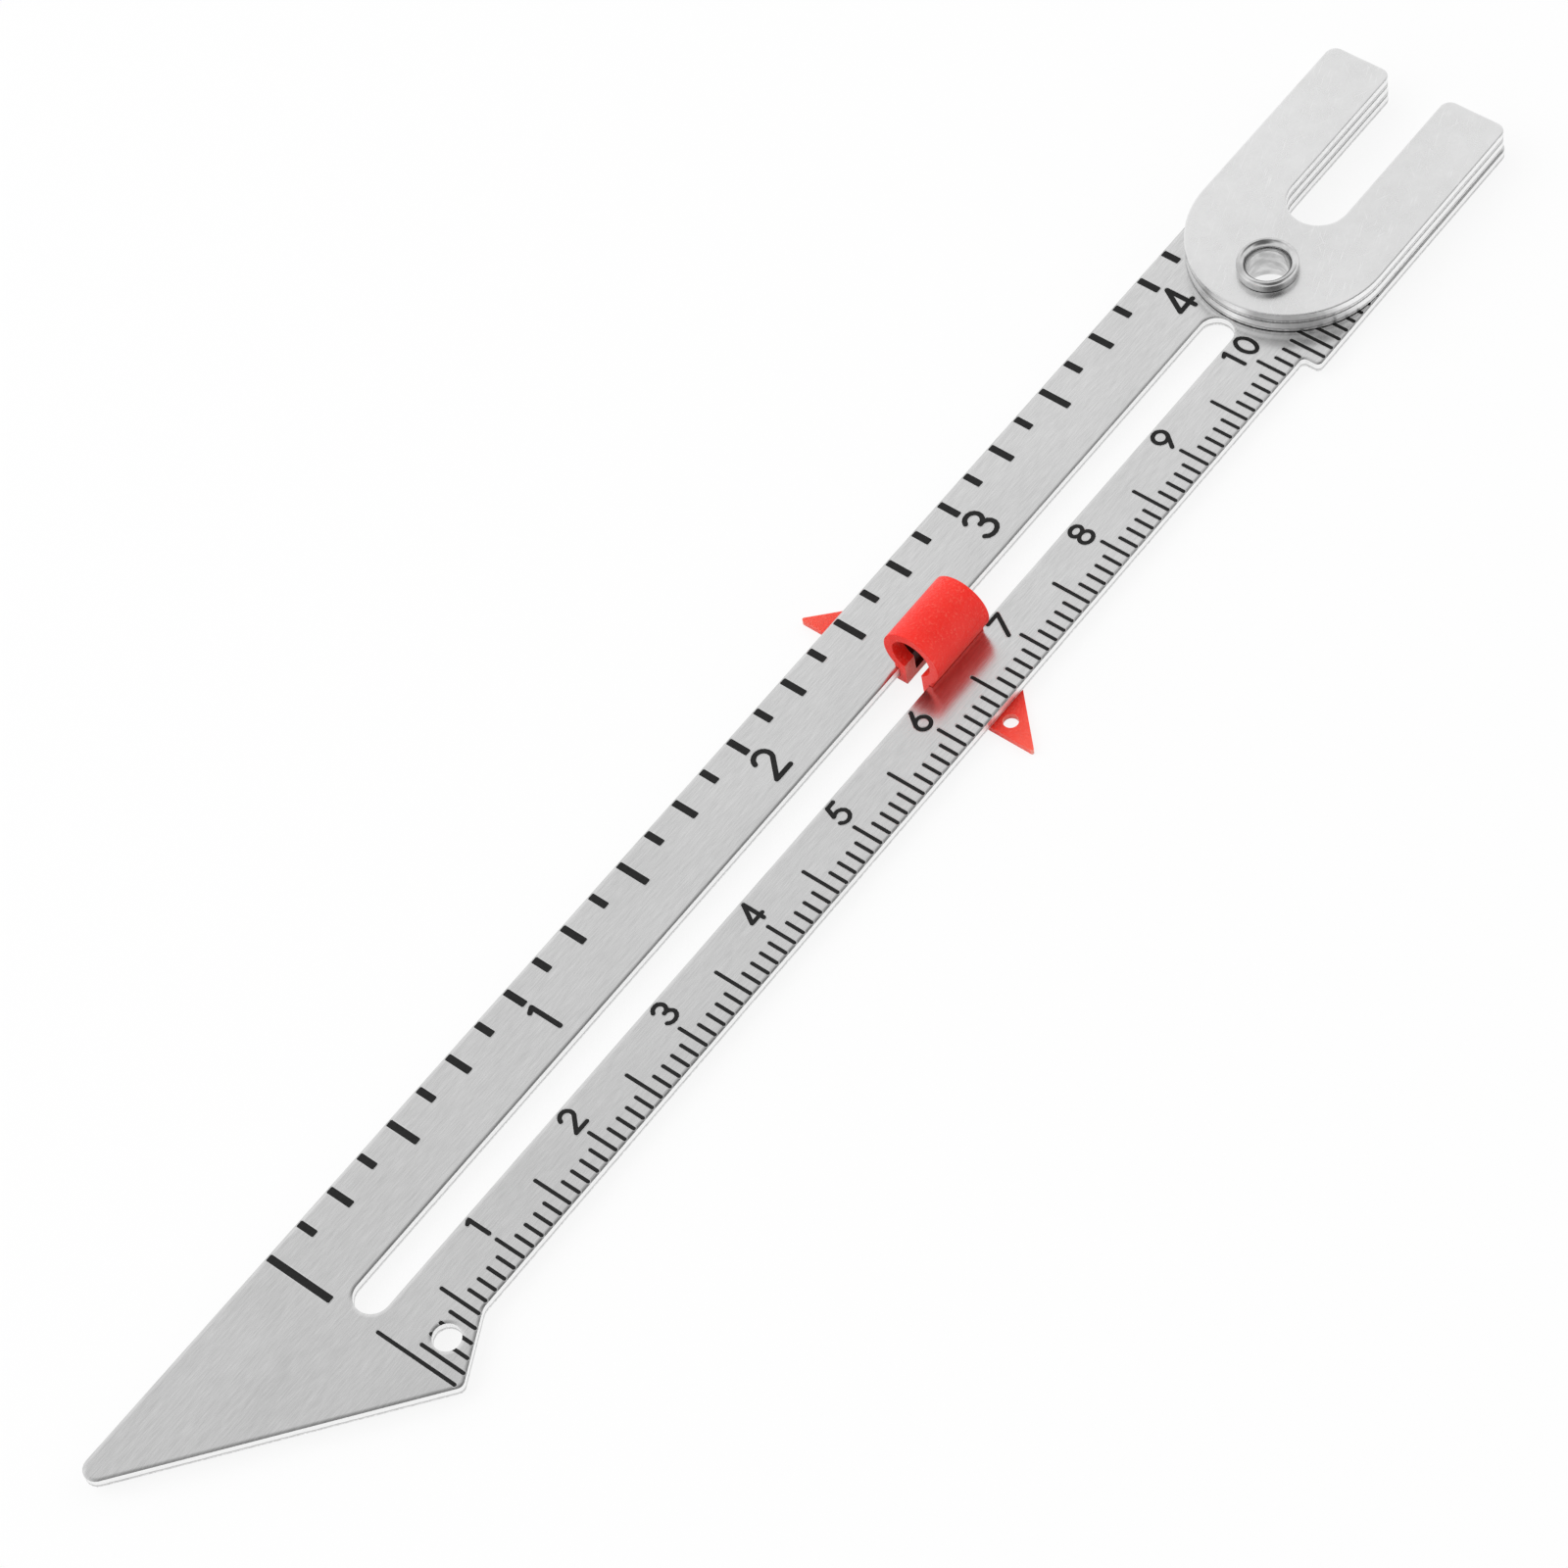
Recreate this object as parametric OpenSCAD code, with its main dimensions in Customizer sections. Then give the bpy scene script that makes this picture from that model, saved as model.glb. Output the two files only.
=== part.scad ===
// Sewing gauge: a slotted aluminium ruler blade with a red sliding pointer, and a forked end
// under two swivelling spacer plates held by a tubular rivet.
// x runs along the blade from the pointed nose to the fork, y across it towards the inch edge,
// z up. The origin is below the middle of the whole ruler, on the surface that it lies on.

/* [Blade] */
// Thickness of the blade's sheet
blade_t = 0.9; // [0.6:0.1:1.5]
// From the zero lines to the sharp corner that the nose's tip is rounded from
tip_to_zero = 21.3; // [18:0.1:26]
// From the zero lines to the end of the fork
fork_end = 127.7; // [122:0.1:140]
// From the inch edge to the middle of the long slot
slot_inset = 8.0; // [7.6:0.1:8.4]
// Depth of the nose's lower corner, measured from the inch edge
nose_depth = 17.6; // [16.8:0.1:19]
// From the zero lines to the nose's lower corner
nose_ahead = 0.2; // [0:0.1:0.8]
// From the zero lines to where the nose's slanted edge meets the metric edge
recess_start = 5.5; // [5:0.1:7]
// From the slot's middle line to the metric edge
metric_side = 6.9; // [6.4:0.1:7.6]
// Width of the forked end
fork_width = 16.4; // [15.9:0.1:18]
// From the zero lines to the shoulder where the fork's width begins
shoulder_ahead = 102.1; // [100.5:0.1:104.5]
// Radius of the nose's tip
tip_r = 1.0; // [0.4:0.05:1.3]
// Radius of the nose's lower corner
nose_r = 0.6; // [0.2:0.1:1]
// Radius where the slanted edge runs into the metric edge
blend_r = 1.2; // [0.4:0.1:2]
// Radii of the shoulder's two corners
step_r = 0.4; // [0.2:0.1:0.6]

/* [Slot and holes] */
// Width of the long slot
slot_w = 2.8; // [2.4:0.1:3.2]
// From the zero lines to the start of the slot
slot_start = 0.5; // [0.3:0.1:2]
// From the zero lines to the end of the slot
slot_end = 102.0; // [96:0.1:102.4]
// Diameter of the compass hole
compass_d = 2.1; // [1.6:0.1:2.4]
// From the zero lines to the compass hole
compass_ahead = 2.4; // [2.2:0.1:3.2]
// From the nose's slanted edge in to the compass hole, straight across the blade
compass_inset = 2.2; // [2:0.1:2.6]

/* [Fork and spacer plates] */
// Width of the shank gap between the prongs
gap_w = 5.05; // [4.5:0.05:5.6]
// From the zero lines to the round bottom of the shank gap
gap_start = 111.6; // [110.9:0.1:114]
// Radius of the prongs' corners
prong_r = 0.85; // [0.4:0.05:1.2]
// Thickness of each spacer plate
plate_t = 0.9; // [0.6:0.1:1.5]
// How far the plates' sides stand inside the fork's sides
plate_inset = 0.1; // [0:0.05:0.3]
// From the zero lines to the round end of the spacer plates
plate_start = 102.2; // [101.6:0.1:103]
// Gap between one sheet and the next in the stack
layer_gap = 0.08; // [0.05:0.01:0.2]

/* [Eyelet] */
// Radius of the eyelet's open bore
eyelet_bore_r = 1.6; // [1.3:0.05:1.7]
// Wall of the eyelet's barrel
eyelet_wall = 0.35; // [0.25:0.05:0.5]
// From the zero lines to the eyelet's axis
eyelet_ahead = 106.5; // [105.6:0.1:107.2]
// How far the eyelet sits off the fork's middle line
eyelet_offset = 0.55; // [0:0.05:0.7]
// Radius of the rolled collar on top
collar_r = 2.4; // [2.2:0.05:2.8]
// Height of the rolled collar
collar_h = 0.85; // [0.6:0.05:1.1]
// Radius of the flange under the blade
flange_r = 2.7; // [2.4:0.05:3.2]
// Running clearance of the plates round the barrel
pivot_clear = 0.05; // [0.03:0.01:0.1]

/* [Slider] */
// Place of the reading edge on the millimetre scale
slider_at = 62.7; // [2:0.1:91]
// Length of the slider along the slot
slider_len = 6.2; // [5:0.1:8]
// Outer radius of the arch
arch_r = 2.45; // [2.3:0.05:3]
// Wall of the arch
arch_wall = 0.75; // [0.5:0.05:1]
// Height of the arch's middle above the blade
arch_rise = 2.25; // [2.2:0.05:2.6]
// Wall of each leg that passes through the slot
leg_wall = 0.8; // [0.6:0.05:0.95]
// How far the arch's shoulders reach over the blade on each side of the slot
shoulder_reach = 0.3; // [0.15:0.05:0.4]
// Height of the shoulders that rest on the blade
shoulder_h = 0.55; // [0.3:0.05:0.7]
// Thickness of the pointer feet under the blade
foot_t = 0.55; // [0.4:0.05:0.8]
// From the slot's middle line to each pointer's tip
pointer_reach = 10.8; // [10.2:0.1:12]
// Radius of the pointers' tips
pointer_r = 0.15; // [0.05:0.05:0.3]
// Diameter of the pencil hole in the metric pointer
pencil_d = 1.2; // [0.8:0.1:1.6]
// From the reading edge to the pencil hole
pencil_ahead = 1.25; // [1:0.05:1.6]
// From the slot's middle line to the pencil hole
pencil_reach = 7.75; // [7.4:0.05:8]
// Sliding clearance between slider and blade on every side
slide_clear = 0.05; // [0.03:0.01:0.1]

/* [Marks] */
// One inch on the inch scale
inch_pitch = 25.4; // [25:0.1:26]
// Divisions in one inch
inch_parts = 8; // [4:4:8]
// Last division marked on the inch scale
inch_last = 34; // [30:1:34]
// Last millimetre marked on the metric scale
metric_last = 110; // [100:1:110]
// One millimetre division
metric_pitch = 1.0; // [0.98:0.01:1.02]
// Width of the inch lines
inch_line_w = 0.6; // [0.3:0.05:0.7]
// Corner radius of the inch lines
inch_line_r = 0.12; // [0.05:0.01:0.14]
// Width of the metric lines
metric_line_w = 0.3; // [0.2:0.05:0.4]
// Lengths of the inch lines: zero line, whole, half, quarter, eighth
inch_lengths = [5.9, 2.0, 2.85, 2.25, 1.65];
// Lengths of the metric lines, as shares of the strip beside the slot: zero line, ten, five, one
metric_line_shares = [0.89, 0.5, 0.63, 0.33];
// From the nose's lower corner to the outer end of the metric zero line
zero_line_inset = 0.45; // [0.4:0.05:1.4]
// Bare strip between a line and the edge that it runs to
edge_margin = 0.09; // [0.05:0.01:0.2]
// Depth of the stamped marks
mark_depth = 0.1; // [0.05:0.01:0.2]
// How far the paint stays below the blade's surface
fill_dip = 0.02; // [0.01:0.01:0.04]

/* [Numerals] */
// Height of the inch numerals
inch_num_h = 3.05; // [2:0.05:3.2]
// Width of the inch numerals
inch_num_w = 2.0; // [1.4:0.05:2.2]
// Stroke of the inch numerals
inch_num_s = 0.42; // [0.25:0.01:0.5]
// From the inch edge to the foot of the inch numerals
inch_num_inset = 5.35; // [5.3:0.05:5.9]
// Height of the metric numerals, as a share of the strip beside the slot
metric_num_share = 0.4; // [0.3:0.01:0.41]
// Width of the metric numerals
metric_num_w = 1.5; // [1:0.05:1.6]
// Stroke of the metric numerals
metric_num_s = 0.35; // [0.2:0.01:0.4]
// From the metric edge to the foot of the metric numerals, as a share of the same strip
metric_foot_share = 0.57; // [0.53:0.01:0.58]
// Bare strip between the two figures of a ten
figure_space = 0.6; // [0.2:0.05:0.7]
// How far each inch numeral stands past its line
inch_num_shifts = [-0.15, 0.15, 0.2, -0.05];
// How far each metric numeral stands past its line
metric_num_shifts = [-0.1, 0.05, 0.35, 0.15, 0.25, -0.15, -0.05, -0.3, 0.15, 0.15];

/* [Hidden] */
$fn = 96;
// Overrun of every cut past the face that it opens
over = 0.5;
// Straight steps in a rounded corner and in a numeral's curve and end
corner_steps = 8;
line_corner_steps = 3;
curve_steps = 10;
cap_steps = 5;

// Heights
foot_drop = slide_clear + foot_t;
blade_z = foot_drop;
blade_top = blade_z + blade_t;
middle_z = blade_top + layer_gap;
upper_z = middle_z + plate_t + layer_gap;
collar_z = upper_z + plate_t + pivot_clear;
mark_z = blade_top - mark_depth;
fill_t = mark_depth - fill_dip;

// Places across the blade, measured from the slot's middle line
inch_edge = slot_inset;
metric_edge = -metric_side;
nose_edge = inch_edge - nose_depth;
fork_edge = inch_edge - fork_width;
fork_mid = (inch_edge + fork_edge) / 2;
metric_strip = metric_side - slot_w / 2;
// The nose's slanted edge at a place along the blade
function slant_at(x) =
    metric_edge + (recess_start - x) * (nose_edge - metric_edge) / (recess_start - nose_ahead);
gap_r = gap_w / 2;
gap_x = gap_start + gap_r;

// The zero lines' place along x, so that the origin is under the middle of the ruler
tip_angle = atan2(nose_depth, tip_to_zero + nose_ahead);
tip_reach = tip_to_zero - tip_r * (1 / tan(tip_angle / 2) - 1);
zero_x = (tip_reach - fork_end) / 2;

// Eyelet
eyelet_y = fork_mid - eyelet_offset;
barrel_r = eyelet_bore_r + eyelet_wall;
pivot_r = barrel_r + pivot_clear;
collar_wall = collar_r - eyelet_bore_r;
collar_roll = collar_wall / 2;
flange_h = blade_z;
flange_roll = min(flange_h, flange_r - barrel_r) / 2;

// Spacer plates
plate_w = fork_width - 2 * plate_inset;
plate_mid_x = plate_start + plate_w / 2;

// Slider
leg_out = slot_w / 2 - slide_clear;
leg_in = leg_out - leg_wall;
shoulder_out = slot_w / 2 + shoulder_reach;

// Rounded outlines
function unit(v) = v / norm(v);
function turn_between(from, to) =
    let (turn = to - from) turn > 180 ? turn - 360 : turn < -180 ? turn + 360 : turn;
function corner_arc(before, at, after, r, steps) =
    r == 0 ? [at] :
    let (u = unit(before - at),
         v = unit(after - at),
         half = acos(u * v) / 2,
         centre = at + unit(u + v) * r / sin(half),
         start = at + u * r / tan(half) - centre,
         finish = at + v * r / tan(half) - centre,
         from = atan2(start.y, start.x),
         turn = turn_between(from, atan2(finish.y, finish.x)))
    [for (i = [0 : steps]) centre + r * [cos(from + turn * i / steps), sin(from + turn * i / steps)]];
function rounded(points, radii, steps) =
    [for (i = [0 : len(points) - 1])
        each corner_arc(points[(i + len(points) - 1) % len(points)], points[i],
                        points[(i + 1) % len(points)], radii[i], steps)];

// The fork's open end, which the blade and both plates share
function fork_points(inset) =
    [[fork_end, fork_edge + inset], [fork_end, fork_mid - gap_r], [gap_x, fork_mid - gap_r],
     [gap_x, fork_mid + gap_r], [fork_end, fork_mid + gap_r], [fork_end, inch_edge - inset]];
fork_radii = [prong_r, prong_r, 0, 0, prong_r, prong_r];

blade_points = concat(
    [[-tip_to_zero, inch_edge], [nose_ahead, nose_edge],
     [recess_start, metric_edge], [shoulder_ahead, metric_edge], [shoulder_ahead, fork_edge]],
    fork_points(0));
blade_radii = concat([tip_r, nose_r, blend_r, step_r, step_r], fork_radii);

// The shank gap up to the prongs' rounded corners, with its round bottom
module shank_gap() {
    translate([gap_x, fork_mid])
        circle(r = gap_r);
    translate([gap_x, fork_mid - gap_r])
        square([fork_end - prong_r - gap_x, gap_w]);
}

module long_slot() {
    start = slot_start + slot_w / 2;
    finish = slot_end - slot_w / 2;
    translate([start, -slot_w / 2])
        square([finish - start, slot_w]);
    for (x = [start, finish])
        translate([x, 0])
            circle(d = slot_w);
}

// Strokes with round ends
function heading(path, i) =
    let (a = path[max(i - 1, 0)], b = path[min(i + 1, len(path) - 1)]) atan2(b.y - a.y, b.x - a.x);
function side(path, w, i, turn) =
    path[i] + w / 2 * [cos(heading(path, i) + turn), sin(heading(path, i) + turn)];
function cap(path, w, i, from) =
    [for (k = [1 : cap_steps - 1]) side(path, w, i, from - 180 * k / cap_steps)];
function stroke_outline(path, w) =
    let (last = len(path) - 1)
    concat([for (i = [0 : last]) side(path, w, i, 90)], cap(path, w, last, 90),
           [for (i = [last : -1 : 0]) side(path, w, i, -90)], cap(path, w, 0, -90));

// A part of an oval, in shares of a numeral's width and height
function bow_shares(centre, half, from, to) =
    [for (i = [0 : curve_steps])
        let (a = from + (to - from) * i / curve_steps)
        [centre.x + half.x * cos(a), centre.y + half.y * sin(a)]];

// Each figure's strokes, from 0 to 9
figure_shares = [
    [bow_shares([0.5, 0.5], [0.5, 0.5], 90, 270), bow_shares([0.5, 0.5], [0.5, 0.5], -90, 90)],
    [[[0, 0.92], [1, 1]], [[1, 1], [1, 0]]],
    [concat(bow_shares([0.5, 0.72], [0.46, 0.28], 165, -30), [[0, 0]]), [[0, 0], [1, 0]]],
    [bow_shares([0.5, 0.75], [0.44, 0.25], 155, -90), bow_shares([0.5, 0.26], [0.5, 0.26], 90, -155)],
    [[[0.76, 1], [0, 0.2]], [[0, 0.2], [1, 0.2]], [[0.76, 1], [0.76, 0]]],
    [[[1, 1], [0.42, 1]], [[0.42, 1], [0.16, 0.55]], bow_shares([0.49, 0.31], [0.51, 0.31], 130, -155)],
    [[[0.68, 1], [0.05, 0.46]], bow_shares([0.5, 0.31], [0.5, 0.31], 0, 180),
     bow_shares([0.5, 0.31], [0.5, 0.31], 180, 360)],
    [[[0, 1], [1, 1]], [[1, 1], [0.06, 0]]],
    [bow_shares([0.5, 0.77], [0.45, 0.23], 90, 270), bow_shares([0.5, 0.77], [0.45, 0.23], -90, 90),
     bow_shares([0.5, 0.27], [0.5, 0.27], 90, 270), bow_shares([0.5, 0.27], [0.5, 0.27], -90, 90)],
    [[[0.28, 0], [0.95, 0.54]], bow_shares([0.5, 0.69], [0.5, 0.31], 0, 180),
     bow_shares([0.5, 0.69], [0.5, 0.31], 180, 360)]];
// The figure one is narrower than the others
one_share = 0.27;

function figure_width(n, w, s) = n == 1 ? s + (w - s) * one_share : w;

module figure(n, w, h, s) {
    wide = figure_width(n, w, s) - s;
    for (shares = figure_shares[n])
        polygon(stroke_outline([for (q = shares) [s / 2 + q.x * wide, s / 2 + q.y * (h - s)]], s));
}

// A number whose figures stand side by side with their middle at x = 0
module number(n, w, h, s) {
    figures = n < 10 ? [n] : [floor(n / 10), n % 10];
    widths = [for (f = figures) figure_width(f, w, s)];
    whole = len(figures) == 1 ? widths[0] : widths[0] + figure_space + widths[1];
    translate([-whole / 2, 0])
        figure(figures[0], w, h, s);
    if (len(figures) > 1)
        translate([whole / 2 - widths[1], 0])
            figure(figures[1], w, h, s);
}

// Marks
inch_step = inch_pitch / inch_parts;
function inch_length(k) =
    k == 0 ? inch_lengths[0] : k % inch_parts == 0 ? inch_lengths[1] :
    k % (inch_parts / 2) == 0 ? inch_lengths[2] : k % (inch_parts / 4) == 0 ? inch_lengths[3] :
    inch_lengths[4];
function metric_length(n) =
    metric_strip * metric_line_shares[n == 0 ? 0 : n % 10 == 0 ? 1 : n % 5 == 0 ? 2 : 3];
// The outer end of a metric line, at the slanted edge, the metric edge or the fork's edge
function metric_outer(x) =
    x == 0 ? nose_edge + zero_line_inset :
    x < recess_start ? slant_at(x) + edge_margin :
    x < shoulder_ahead + step_r ? metric_edge + edge_margin : fork_edge + edge_margin;

module inch_lines() {
    for (k = [0 : inch_last]) {
        x = k * inch_step;
        left = x - inch_line_w / 2;
        right = x + inch_line_w / 2;
        top = inch_edge - edge_margin;
        foot = inch_edge - inch_length(k);
        polygon(rounded([[left, foot], [right, foot], [right, top], [left, top]],
                        [for (i = [0 : 3]) inch_line_r], line_corner_steps));
    }
}

module metric_lines() {
    for (n = [0 : metric_last]) {
        x = n * metric_pitch;
        inner = metric_edge + metric_length(n) - metric_line_w / 2;
        outer = metric_outer(x) + metric_line_w / 2;
        translate([x - metric_line_w / 2, outer])
            square([metric_line_w, inner - outer]);
        for (y = [inner, outer])
            translate([x, y])
                circle(d = metric_line_w, $fn = 24);
    }
}

module inch_numbers() {
    for (n = [1 : floor(inch_last / inch_parts)])
        translate([n * inch_pitch + inch_num_shifts[n - 1], inch_edge - inch_num_inset])
            number(n, inch_num_w, inch_num_h, inch_num_s);
}

module metric_numbers() {
    for (n = [1 : floor(metric_last / 10) - 1])
        translate([n * 10 * metric_pitch + metric_num_shifts[n - 1],
                   metric_edge + metric_strip * metric_foot_share])
            number(n, metric_num_w, metric_strip * metric_num_share, metric_num_s);
}

module compass_hole() {
    translate([compass_ahead, slant_at(compass_ahead) + compass_inset])
        circle(d = compass_d);
}

// Paint that lies in one set of stamped marks, opened where a hole or the slot goes through it
module mark_fill() {
    translate([zero_x, 0, mark_z])
        linear_extrude(height = fill_t)
            difference() {
                children();
                compass_hole();
                long_slot();
            }
}

// Sub-parts
module blade() {
    color([0.76, 0.76, 0.75])
        difference() {
            translate([zero_x, 0, blade_z])
                linear_extrude(height = blade_t)
                    difference() {
                        polygon(rounded(blade_points, blade_radii, corner_steps));
                        shank_gap();
                        long_slot();
                        compass_hole();
                        translate([eyelet_ahead, eyelet_y])
                            circle(r = barrel_r);
                    }
            translate([zero_x, 0, mark_z])
                linear_extrude(height = mark_depth + over) {
                    inch_lines();
                    metric_lines();
                    inch_numbers();
                    metric_numbers();
                }
        }
}

module spacer_plate(z) {
    start = [[plate_mid_x, inch_edge - plate_inset], [plate_mid_x, fork_edge + plate_inset]];
    color([0.86, 0.86, 0.86])
        translate([zero_x, 0, z])
            linear_extrude(height = plate_t)
                difference() {
                    union() {
                        translate([plate_mid_x, fork_mid])
                            circle(d = plate_w);
                        polygon(rounded(concat(start, fork_points(plate_inset)),
                                        concat([0, 0], fork_radii), corner_steps));
                    }
                    shank_gap();
                    translate([eyelet_ahead, eyelet_y])
                        circle(r = pivot_r);
                }
}

// The barrel with its rolled collar above and its flange below
module eyelet() {
    color([0.8, 0.8, 0.8])
        translate([zero_x + eyelet_ahead, eyelet_y, 0])
            rotate_extrude() {
                translate([eyelet_bore_r, flange_roll])
                    square([eyelet_wall, collar_z + collar_h - collar_roll - flange_roll]);
                translate([eyelet_bore_r + flange_roll, 0])
                    square([flange_r - eyelet_bore_r - 2 * flange_roll, flange_h]);
                translate([flange_r - flange_roll, flange_roll])
                    circle(r = flange_roll, $fn = 48);
                translate([eyelet_bore_r + flange_roll, flange_roll])
                    circle(r = flange_roll, $fn = 48);
                translate([eyelet_bore_r, collar_z])
                    square([collar_wall, collar_h - collar_roll]);
                translate([eyelet_bore_r + collar_roll, collar_z + collar_h - collar_roll])
                    circle(r = collar_roll, $fn = 48);
            }
}

// The clip's section, seen along the slot, with the slot's middle line at x = 0 and the blade's
// top face at y = 0
module clip_section() {
    leg_drop = blade_t + foot_drop;
    difference() {
        union() {
            intersection() {
                translate([0, arch_rise])
                    circle(r = arch_r);
                translate([-arch_r, slide_clear])
                    square([2 * arch_r, arch_rise + arch_r]);
            }
            translate([-shoulder_out, slide_clear])
                square([2 * shoulder_out, shoulder_h]);
            translate([-leg_out, -leg_drop])
                square([2 * leg_out, leg_drop + shoulder_h]);
        }
        translate([0, arch_rise])
            circle(r = arch_r - arch_wall);
        translate([-leg_in, -leg_drop - over])
            square([2 * leg_in, leg_drop + over + arch_rise]);
    }
}

module pointer_foot() {
    polygon(rounded([[0, leg_in], [0, pointer_reach], [slider_len, pointer_reach - slider_len],
                     [slider_len, leg_in]], [0, pointer_r, 0, 0], corner_steps));
}

module slider() {
    color([0.93, 0.2, 0.16])
        translate([zero_x + slider_at, 0, 0])
            union() {
                translate([0, 0, blade_top])
                    rotate([90, 0, 90])
                        linear_extrude(height = slider_len)
                            clip_section();
                linear_extrude(height = foot_t)
                    pointer_foot();
                linear_extrude(height = foot_t)
                    difference() {
                        mirror([0, 1, 0])
                            pointer_foot();
                        translate([pencil_ahead, -pencil_reach])
                            circle(d = pencil_d);
                    }
            }
}

module inch_scale_fill() {
    color([0.1, 0.1, 0.1])
        mark_fill()
            inch_lines();
}

module metric_scale_fill() {
    color([0.1, 0.1, 0.1])
        mark_fill()
            metric_lines();
}

module inch_numeral_fill() {
    color([0.1, 0.1, 0.1])
        mark_fill()
            inch_numbers();
}

module metric_numeral_fill() {
    color([0.1, 0.1, 0.1])
        mark_fill()
            metric_numbers();
}

blade();
spacer_plate(middle_z);  // middle_spacer_plate
spacer_plate(upper_z);  // upper_spacer_plate
eyelet();
slider();
inch_scale_fill();
metric_scale_fill();
inch_numeral_fill();
metric_numeral_fill();
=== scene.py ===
# %% [markdown]
# A sewing gauge, dressed for its picture
#
# A sewing gauge is a thin aluminium ruler with a long slot. A red pointer slides in the slot,
# and two forked plates swing on a rivet at one end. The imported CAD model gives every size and
# every joint. This lesson keeps those sizes, and gives each piece the edges and the finish
# that a hand and an eye would find on the real one.

# %% Load the frame
import math
import bmesh
import bpy
from mathutils import Matrix, Vector
from mathutils.bvhtree import BVHTree
from mathutils.interpolate import poly_3d_calc


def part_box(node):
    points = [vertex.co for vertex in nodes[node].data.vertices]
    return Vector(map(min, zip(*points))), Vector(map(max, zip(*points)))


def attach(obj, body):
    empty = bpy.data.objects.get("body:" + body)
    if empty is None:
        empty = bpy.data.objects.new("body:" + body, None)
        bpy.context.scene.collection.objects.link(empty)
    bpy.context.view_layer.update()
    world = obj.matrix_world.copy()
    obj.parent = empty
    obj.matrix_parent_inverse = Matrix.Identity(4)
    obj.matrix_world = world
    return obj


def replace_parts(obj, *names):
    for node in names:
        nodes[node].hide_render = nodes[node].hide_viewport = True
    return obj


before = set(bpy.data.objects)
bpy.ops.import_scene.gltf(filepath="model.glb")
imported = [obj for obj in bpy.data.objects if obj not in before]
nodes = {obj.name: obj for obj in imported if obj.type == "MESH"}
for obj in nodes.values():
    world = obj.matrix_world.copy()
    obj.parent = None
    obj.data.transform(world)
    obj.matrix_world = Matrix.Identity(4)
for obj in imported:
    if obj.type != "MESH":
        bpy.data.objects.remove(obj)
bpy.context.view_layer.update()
bpy.context.scene.view_settings.view_transform = "Standard"
print("nodes:", ", ".join(sorted(nodes)))

# %% [markdown]
# The camera
#
# The photograph looks down on the gauge from beyond its nose, through a long lens. The
# place and the directions below come from a fit of a plain pinhole camera to the lines of
# the two scales and to both ends. A matrix whose columns are right, up and backwards puts
# the camera there without any guessing of angles.

# %% Camera
MM = 0.001
SENSOR = 36.0
PHOTO_SIDE = 1600
FOCAL_PIXELS = 4737.1

cam_data = bpy.data.cameras.new("camera")
cam_data.sensor_width = SENSOR
cam_data.lens = FOCAL_PIXELS / PHOTO_SIDE * SENSOR
cam_data.clip_start, cam_data.clip_end = 0.01, 10.0
camera = bpy.data.objects.new("camera", cam_data)
bpy.context.scene.collection.objects.link(camera)
cam_place = Vector((-128.28, -138.89, 276.29)) * MM
cam_forward = Vector((0.3733, 0.4237, -0.8253)).normalized()
cam_right = cam_forward.cross(Vector((0.6965, 0.4596, 0.5510))).normalized()
cam_up = cam_right.cross(cam_forward)
turn = Matrix((cam_right, cam_up, -cam_forward)).transposed()
camera.matrix_world = Matrix.Translation(cam_place) @ turn.to_4x4()
bpy.context.scene.camera = camera
print("lens, mm:", round(cam_data.lens, 1))

# %% [markdown]
# Helpers for materials
#
# Every finish here is a Principled shader with a few texture nodes in front of it. The
# helper below makes the shader and hands back what is needed to add more. Sizes in a
# texture are given as millimetres across one feature, because that is how a maker thinks
# of grain, and turned into the scale that the node wants. Object coordinates keep the
# pattern fixed to the piece when it moves.

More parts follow.
